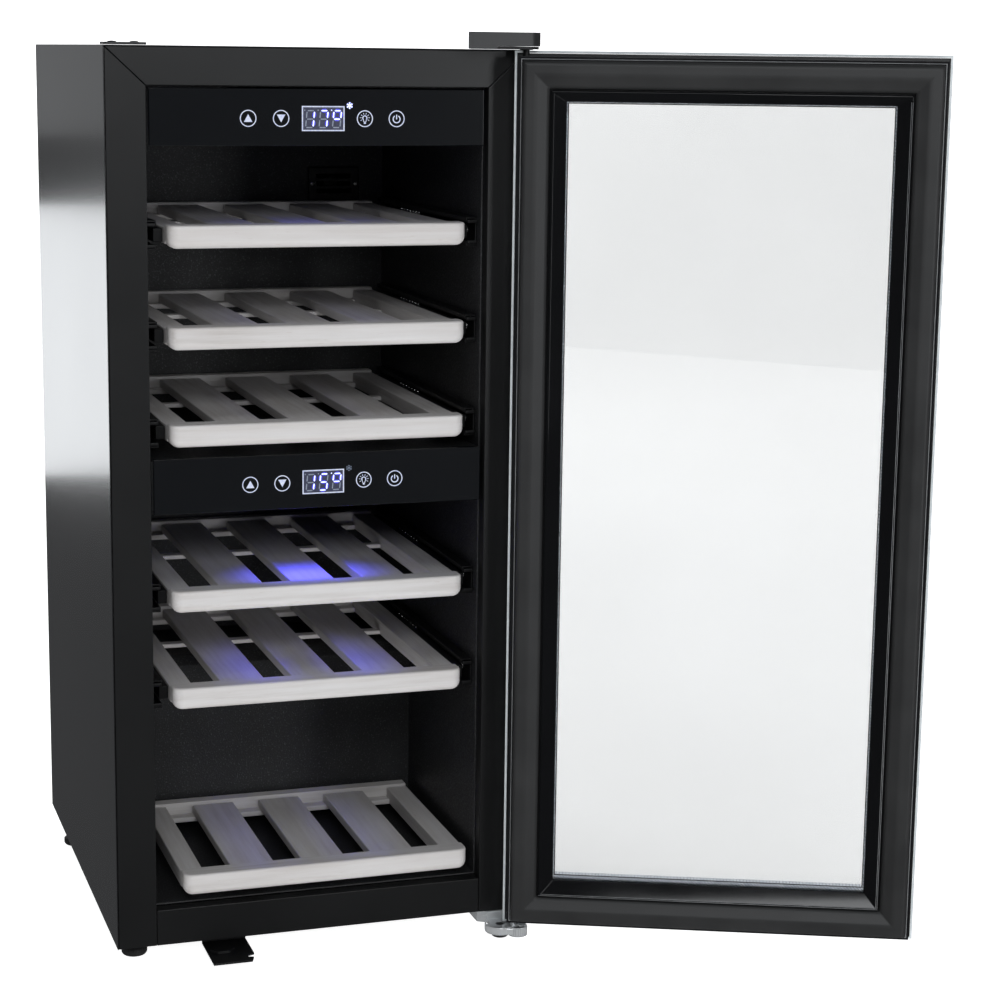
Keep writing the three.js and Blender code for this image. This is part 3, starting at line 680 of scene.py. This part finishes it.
# ---------------------------------------------------------------- fascia graphics
SEGMENTS = {"a": ((0.12, 1.0), (0.88, 1.0)), "b": ((0.95, 0.94), (0.95, 0.56)),
            "c": ((0.95, 0.44), (0.95, 0.06)), "d": ((0.12, 0.0), (0.88, 0.0)),
            "e": ((0.05, 0.06), (0.05, 0.44)), "f": ((0.05, 0.56), (0.05, 0.94)),
            "g": ((0.12, 0.5), (0.88, 0.5))}
GLYPHS = {"1": "bc", "7": "abc", "5": "acdfg", "deg": "abfg"}
SLANT = 0.10
MARKS = {"up": -0.0669, "down": -0.0365, "bulb": 0.0420, "power": 0.0722}
MARK_RING = {"radius": 0.0076, "line": 0.00085}
ARROW_HALF = 0.0039
RAYS = 8
DISPLAY = {"left": -0.0172, "right": 0.0228, "half": 0.0113, "rim": 0.0011}
DIGIT = {"wide": 0.0078, "tall": 0.0152, "pitch": 0.0126, "left": 0.0030, "rise": 0.0032}
STROKE = {"halo": 0.0036, "lit": 0.0013, "unlit": 0.0010}


def add_stroke(bm, a, b, width, y0, y1):
    a, b = Vector(a), Vector(b)
    along = (b - a).normalized()
    across = Vector((-along.y, along.x)) * width / 2
    tip = along * width / 2
    points = [a - tip, a + across, b - across + 2 * across, b + tip, b - across, a - across]
    add_prism(bm, [tuple(p) for p in points], y0, y1, "Y")


def digit_strokes(bm, x, z, lit, y0, y1, stroke):
    wide, tall = DIGIT["wide"], DIGIT["tall"]
    for name, (a, b) in SEGMENTS.items():
        if name not in lit:
            continue
        ends = []
        for u, v in (a, b):
            ends.append((x + u * wide + v * tall * SLANT, z + v * tall))
        shrink = (Vector(ends[1]) - Vector(ends[0])).normalized() * stroke * 0.45
        add_stroke(bm, Vector(ends[0]) + shrink, Vector(ends[1]) - shrink, stroke, y0, y1)


def arrow_marks(lit, z, y0, y1):
    x = MARKS["up"]
    add_prism(lit, [(x - ARROW_HALF, z - 0.0032), (x + ARROW_HALF, z - 0.0032), (x, z + 0.0038)], y0, y1, "Y")
    x = MARKS["down"]
    add_prism(lit, [(x - ARROW_HALF, z + 0.0035), (x, z - 0.0035), (x + ARROW_HALF, z + 0.0035)], y0, y1, "Y")


def bulb_mark(lit, z, y0, y1):
    x, bulb_z = MARKS["bulb"], z + 0.0006
    add_ring(lit, x, bulb_z, 0.0024, 0.0015, y0, y1, "Y", 20, (math.radians(-50), math.radians(230)))
    for side in (-1, 1):
        add_stroke(lit, (x + side * 0.0014, z - 0.0016), (x + side * 0.0007, z - 0.0030), 0.0007, y0, y1)
    add_stroke(lit, (x - 0.0004, z - 0.0040), (x + 0.0004, z - 0.0040), 0.0016, y0, y1)
    for k in range(RAYS):
        angle = -30 + k * 240 / (RAYS - 1)
        add_stroke(lit, polar(x, bulb_z, 0.0033, angle), polar(x, bulb_z, 0.0046, angle), 0.0005, y0, y1)


def power_mark(lit, z, y0, y1):
    x = MARKS["power"]
    add_ring(lit, x, z - 0.0003, 0.0038, 0.0028, y0, y1, "Y", 32, (math.radians(122), math.radians(418)))
    add_stroke(lit, (x, z - 0.0002), (x, z + 0.0034), 0.0010, y0, y1)


def display_rim(lit, base, top, y0, y1):
    left, right, rim = DISPLAY["left"], DISPLAY["right"], DISPLAY["rim"]
    add_box(lit, (left, y0, base), (right, y1, base + rim))
    add_box(lit, (left, y0, top - rim), (right, y1, top))
    add_box(lit, (left, y0, base + rim), (left + rim, y1, top - rim))
    add_box(lit, (right - rim, y0, base + rim), (right, y1, top - rim))


def display_digits(word, glyphs, base, y0, y1):
    """Lit strokes over a wider glow, with the strokes that are off showing faintly."""
    on, off, halo = bmesh.new(), bmesh.new(), bmesh.new()
    for k, glyph in enumerate(glyphs):
        x = DISPLAY["left"] + DIGIT["left"] + k * DIGIT["pitch"]
        z = base + DIGIT["rise"]
        shown = GLYPHS[glyph]
        rest = [name for name in SEGMENTS if name not in shown]
        digit_strokes(halo, x, z, shown, y0 + 0.00004, y1, STROKE["halo"])
        digit_strokes(on, x, z, shown, y0 - 0.00006, y1 - 0.0001, STROKE["lit"])
        digit_strokes(off, x, z, rest, y0 - 0.00002, y1 - 0.0001, STROKE["unlit"])
        dot = on if glyph == "deg" else off
        add_prism(dot, circle(x - 0.0004, z + 0.0156, 0.0006, 10), y0 - 0.00006, y1 - 0.0001, "Y")
    put(f"{word}_digits", on, SEGMENT, "cabinet")
    put(f"{word}_digit_halo", halo, HALO, "cabinet")
    put(f"{word}_ghost_digits", off, GHOST, "cabinet")


def snowflake(word, top, bright, y0, y1):
    x, z = DISPLAY["right"] + 0.0048, top + 0.0005
    flake = bmesh.new()
    for angle in (90, 150, 210):
        width = 0.0012 if bright else 0.00062
        add_stroke(flake, polar(x, z, -0.0026, angle), polar(x, z, 0.0026, angle), width, y0, y1)
    for angle in range(30, 390, 60):
        tip = polar(x, z, 0.0019, angle)
        for turn in (-50, 50):
            add_stroke(flake, tip, polar(*tip, 0.0009, angle + turn), 0.00045, y0, y1)
    put(f"{word}_snowflake", flake, SEGMENT if bright else DIM, "cabinet")


def fascia_graphics(word, z_mid, glyphs, flake_lit):
    """The symbols and the display printed on one control strip."""
    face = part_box(f"{word}_control_fascia")[0][1]
    y0, y1 = face - 0.00022, face - 0.00005
    base, top, rim = z_mid - DISPLAY["half"], z_mid + DISPLAY["half"], DISPLAY["rim"]
    radius = MARK_RING["radius"]
    lit = bmesh.new()
    for x in MARKS.values():
        add_ring(lit, x, z_mid, radius, radius - MARK_RING["line"], y0, y1, "Y", 48)
    arrow_marks(lit, z_mid, y0, y1)
    bulb_mark(lit, z_mid, y0, y1)
    power_mark(lit, z_mid, y0, y1)
    display_rim(lit, base, top, y0, y1)
    put(f"{word}_symbols", lit, LIT, "cabinet")
    glass = bmesh.new()
    add_box(glass, (DISPLAY["left"] + rim, y0 + 0.00008, base + rim), (DISPLAY["right"] - rim, y1, top - rim))
    put(f"{word}_display_window", glass, WINDOW, "cabinet")
    display_digits(word, glyphs, base, y0, y1)
    snowflake(word, top, flake_lit, y0, y1)


# ---------------------------------------------------------------- lights in the zones, grilles
def diodes():
    for word in ("upper", "lower"):
        low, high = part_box(f"{word}_light_lens")
        bm = bmesh.new()
        mid = ((low[0] + high[0]) / 2, (low[1] + high[1]) / 2)
        for i in (-1, 0, 1):
            for j in (-0.5, 0.5):
                add_dome(bm, (mid[0] + i * 0.026, mid[1] + j * 0.014, low[2]), 0.0028, 0.0016, "Z", sign=-1)
        put(f"{word}_diodes", bm, DIODE, "cabinet").data.shade_smooth()


def grille_screws():
    for word in ("upper", "lower"):
        low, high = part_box(f"{word}_fan_grille")
        bm = bmesh.new()
        for x in (low[0] + 0.0042, high[0] - 0.0042):
            add_dome(bm, (x, (low[2] + high[2]) / 2, low[1]), 0.0024, 0.0011, "Y", sign=-1)
        put(f"{word}_grille_screws", bm, PLATED, "cabinet").data.shade_smooth()


# ---------------------------------------------------------------- door details
def door_details():
    border = bmesh.new()
    add_door_ring(border, [(0.0024, 0.00578), (0.0024, 0.00594), (0.0503, 0.00594, WINDOW_RISE),
                           (0.0503, 0.00578, WINDOW_RISE)])
    put("glass_border", door_piece(border), FRIT, "door")
    edge = bmesh.new()
    add_door_ring(edge, [(0.00015, 0.00595), (0.00015, 0.00985), (0.0021, 0.00985), (0.0021, 0.00595)])
    put("glass_ground_edge", door_piece(edge), RAW_EDGE, "door")
    # A thin lip ring round the gasket, coloured light grey: a painted highlight.
    lip_glint = bmesh.new()
    add_door_ring(lip_glint, [(0.0072, -0.0100), (0.0072, -0.0110), (0.0080, -0.0110), (0.0080, -0.0100)])
    smooth(put("gasket_lip_glint", door_piece(lip_glint), PAINTED_GLINT, "door"), 0.0003, 2)
    # Light strips only along the bezel's free side and bottom, where the lights glint on its edges: painted
    # highlights.
    glint_strips = bmesh.new()
    (free_side, bottom), (hinge_side, _), *_ = door_rect(GLINT_INSET)
    face, proud = HINGE.y + 0.0164, HINGE.y + 0.0168
    for step in GLINT_STEPS:
        start = (free_side + step, face, bottom + step)
        add_box(glint_strips, start, (start[0] + GLINT_WIDTH, proud, DOOR_TOP - GLINT_TOP_GAP))
        add_box(glint_strips, start, (hinge_side - step, proud, start[2] + GLINT_WIDTH))
    put("bezel_glint_strips", door_piece(glint_strips), PAINTED_GLINT, "door").data.shade_smooth()
    sight = bmesh.new()
    add_door_ring(sight, [(0.0506, -0.0045, WINDOW_RISE), (0.0506, -0.0049, WINDOW_RISE),
                          (0.0516, -0.0049, WINDOW_RISE), (0.0516, -0.0045, WINDOW_RISE)])
    smooth(put("sight_line_seal", door_piece(sight), RUBBER, "door"), 0.0001, 2)


def handle_details():
    bm = bmesh.new()
    x = HINGE.x + GLASS_EDGE - DOOR_WIDTH + 0.024
    face = HINGE.y - 0.010
    for z in (0.355, 0.485):
        add_ring(bm, x, z, 0.0085, 0.0052, face - 0.0026, face - 0.0003, "Y", 32)
    put("handle_rosettes", door_piece(bm), STEEL, "door").data.shade_smooth()


# ---------------------------------------------------------------- small hardware
FOOT_PADS = {"front_left": 0.012, "back_left": 0.012, "back_right": 0.012, "front_right": 0.0085}
RIB_RADIUS = 0.00055


def foot_ribs():
    for name, pad in FOOT_PADS.items():
        low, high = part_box(f"{name}_foot")
        bm = bmesh.new()
        ribs = circle((low[0] + high[0]) / 2, (low[1] + high[1]) / 2, pad - 0.0002, 28 if pad > 0.01 else 22)
        for x, y in ribs:
            add_prism(bm, circle(x, y, RIB_RADIUS, 6), low[2] + 0.0022, low[2] + 0.0068)
        put(f"{name}_foot_ribs", bm, RUBBER, f"{name}_foot_body").data.shade_smooth()


HINGE_FOOT = Vector((0.178, -0.240))
KNUCKLE = Vector((0.193, -0.250))
COLLAR_RADIUS = 0.0149
BOLT_RADIUS = 0.0094
NECK_Z = (-0.0154, -0.0086)
NECK_STEPS = 8


def hinge_neck():
    """The curved web that joins the foot's collar to the hinge knuckle."""
    outer = [polar(*HINGE_FOOT, COLLAR_RADIUS, 215 + 7.5 * k) for k in range(9)]
    a, b = Vector(outer[-1]), Vector(polar(*KNUCKLE, BOLT_RADIUS, 300))
    bend = Vector((a.x + 0.006, b.y + 0.0010))
    for k in range(1, NECK_STEPS + 1):
        u = k / NECK_STEPS
        outer.append(tuple((1 - u) ** 2 * a + 2 * u * (1 - u) * bend + u * u * b))
    inner = [polar(*HINGE_FOOT, BOLT_RADIUS, degrees) for degrees in range(335, 214, -10)]
    bm = bmesh.new()
    add_prism(bm, outer + [tuple(KNUCKLE)] + inner, *NECK_Z)
    smooth(put("hinge_neck", bm, ZINC, "cabinet"), 0.0012, 3)
    rim = bmesh.new()
    foot_arc = (math.radians(150), math.radians(316))
    add_ring(rim, *HINGE_FOOT, 0.0153, 0.0136, -0.0146, -0.0079, "Z", 40, foot_arc)
    add_ring(rim, *KNUCKLE, 0.00948, 0.0074, -0.0170, -0.0081, "Z", 40)
    smooth(put("hinge_rim", rim, ZINC, "cabinet"), 0.0006, 3)


def cover_screws():
    bm = bmesh.new()
    low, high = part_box("compressor_cover")
    for x in (-0.185, -0.06, 0.06, 0.185):
        for z in (high[2] - 0.009, low[2] + 0.012):
            add_dome(bm, (x, z, high[1] - 0.00002), 0.0036, 0.0003, "Y", sign=1)
    put("back_cover_screws", bm, PLATED, "cabinet").data.shade_smooth()
    low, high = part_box("hinge_hole_cover")
    caps = bmesh.new()
    for x in (low[0] + 0.009, high[0] - 0.009):
        add_dome(caps, (x, (low[1] + high[1]) / 2, high[2]), 0.0042, 0.0011, "Z", sign=1)
    put("hinge_hole_caps", caps, SATIN, "cabinet").data.shade_smooth()


# ---------------------------------------------------------------- stage, lights, camera
def paper_material():
    mat, tree, shader = new_material("studio_paper")
    fac = noise(tree, coords(tree), 1.2, 4.0, 0.55)
    tone = ramp(tree, fac, [(0.3, (0.86, 0.86, 0.865)), (0.7, (0.90, 0.90, 0.90))])
    tree.links.new(tone, shader.inputs["Base Color"])
    tree.links.new(span(tree, fac, 0.75, 0.9), shader.inputs["Roughness"])
    bump(tree, shader, noise(tree, coords(tree), 240.0, 2.0, 0.5), 0.05, 0.1 * MM)
    shader.inputs["Emission Color"].default_value = (1, 1, 1, 1)
    shader.inputs["Emission Strength"].default_value = 0.95
    return mat


SWEEP = {"front": -4.5, "back": 3.0, "bend": 1.2, "top": 5.0, "sides": (-6.0, 7.0), "steps": 10}


def make_stage():
    """White paper that lies under the part and curves up behind it."""
    floor_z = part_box("front_left_foot")[0][2] - 0.0002
    bend = SWEEP["bend"]
    rows = [(SWEEP["front"], floor_z), (SWEEP["back"], floor_z)]
    for k in range(1, SWEEP["steps"] + 1):
        t = math.pi / 2 * k / SWEEP["steps"]
        rows.append((SWEEP["back"] + bend * math.sin(t), floor_z + bend * (1 - math.cos(t))))
    rows.append((SWEEP["back"] + bend, SWEEP["top"]))
    bm = bmesh.new()
    lines = [[bm.verts.new((x, y, z)) for x in SWEEP["sides"]] for y, z in rows]
    for a, b in zip(lines, lines[1:]):
        bm.faces.new((a[0], a[1], b[1], b[0]))
    sweep = put("paper_sweep", bm, paper_material())
    sweep.data.shade_smooth()
    sweep.visible_glossy = False


def area(name, place, target, size, power, colour=(1, 1, 1), size_y=None):
    light = bpy.data.lights.new(name, "AREA")
    light.energy = power
    light.color = colour
    light.size = size
    if size_y:
        light.shape = "RECTANGLE"
        light.size_y = size_y
    obj = bpy.data.objects.new(name, light)
    obj.location = place
    obj.rotation_euler = (Vector(target) - Vector(place)).to_track_quat("-Z", "Y").to_euler()
    bpy.context.scene.collection.objects.link(obj)
    return obj


def softbox(name, place, target, wide, tall, radiance, colour=(0.95, 0.975, 1.0)):
    """A rectangular light whose face shows the given brightness in a mirror."""
    obj = area(name, place, target, wide, radiance * math.pi * wide * tall, colour, size_y=tall)
    obj.visible_camera = False
    return obj


ZONE_POWER = {"upper": 0.008, "lower": 0.08}
ZONE_BLUE = (0.07, 0.07, 1.0)


def make_lights():
    world = bpy.data.worlds.new("studio")
    bpy.context.scene.world = world
    world.use_nodes = True
    back = world.node_tree.nodes["Background"]
    back.inputs["Color"].default_value = (0.95, 0.97, 1.0, 1)
    back.inputs["Strength"].default_value = 0.09
    softbox("key", (-0.9, -2.4, 3.2), (0.0, -0.1, 0.40), 1.6, 1.2, 3.0, (0.92, 0.96, 1.0))
    softbox("brow", (-0.3, -3.2, 1.7), (0.1, -0.2, 0.5), 1.4, 0.7, 9.0)
    softbox("rail_glint", (1.62, -3.2, 0.6), (0.18, -0.23, 0.5), 0.5, 1.3, 8.0)
    overhead = softbox("overhead", (0.4, 0.4, 3.4), (0.4, 0.6, 0.0), 3.4, 3.0, 0.45)
    wash = softbox("backdrop_wash", (1.2, 1.2, 3.2), (1.2, 4.2, 0.8), 3.5, 1.2, 1.2)
    for light in (overhead, wash):
        light.visible_glossy = False
    softbox("side_band", (-0.55, 0.95, 0.4275), (-0.35, 0.0, 0.4675), 0.60, 0.385, 2.15)
    softbox("side_veil", (-0.60, 1.05, 1.05), (-0.35, 0.0, 0.80), 0.80, 0.70, 0.2)
    for word, power in ZONE_POWER.items():
        low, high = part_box(f"{word}_light_lens")
        x, y, z = (low[0] + high[0]) / 2, (low[1] + high[1]) / 2, low[2]
        spot = area(f"{word}_zone_light", (x, y, z - 0.003), (x, y, z - 0.5), 0.08, power, ZONE_BLUE, 0.026)
        spot.data.spread = math.radians(80)
        spot.visible_camera = False


CAMERA_PLACE = Vector((-0.5238, -2.3074, 0.8365))
CAMERA_DEGREES = {"yaw": 18.092, "pitch": 10.398, "roll": 0.700}
SENSOR = 36.0
FOCAL_RATIO = 2.3288
SHIFT = (0.0130, -0.0196)


def make_camera():
    yaw, pitch, roll = (math.radians(v) for v in CAMERA_DEGREES.values())
    forward = Vector((math.sin(yaw) * math.cos(pitch), math.cos(yaw) * math.cos(pitch), -math.sin(pitch)))
    side = forward.cross(Vector((0, 0, 1))).normalized()
    up = side.cross(forward)
    right = side * math.cos(roll) + up * math.sin(roll)
    top = up * math.cos(roll) - side * math.sin(roll)
    data = bpy.data.cameras.new("camera")
    data.sensor_fit = "AUTO"
    data.sensor_width = SENSOR
    data.lens = SENSOR * FOCAL_RATIO
    data.shift_x, data.shift_y = SHIFT
    cam = bpy.data.objects.new("camera", data)
    basis = Matrix((right, top, -forward)).transposed().to_4x4()
    basis.translation = CAMERA_PLACE
    cam.matrix_world = basis
    bpy.context.scene.collection.objects.link(cam)
    bpy.context.scene.camera = cam


make_camera()
dress_cabinet()
dress_door()
dress_shelves()
shelf_decks()
slide_members()
fascia_graphics("upper", 0.7761, ("1", "7", "deg"), True)
fascia_graphics("lower", 0.4401, ("1", "5", "deg"), False)
diodes()
grille_screws()
door_details()
handle_details()
foot_ribs()
cover_screws()
hinge_neck()
make_stage()
make_lights()
bpy.context.scene.view_settings.view_transform = "Standard"
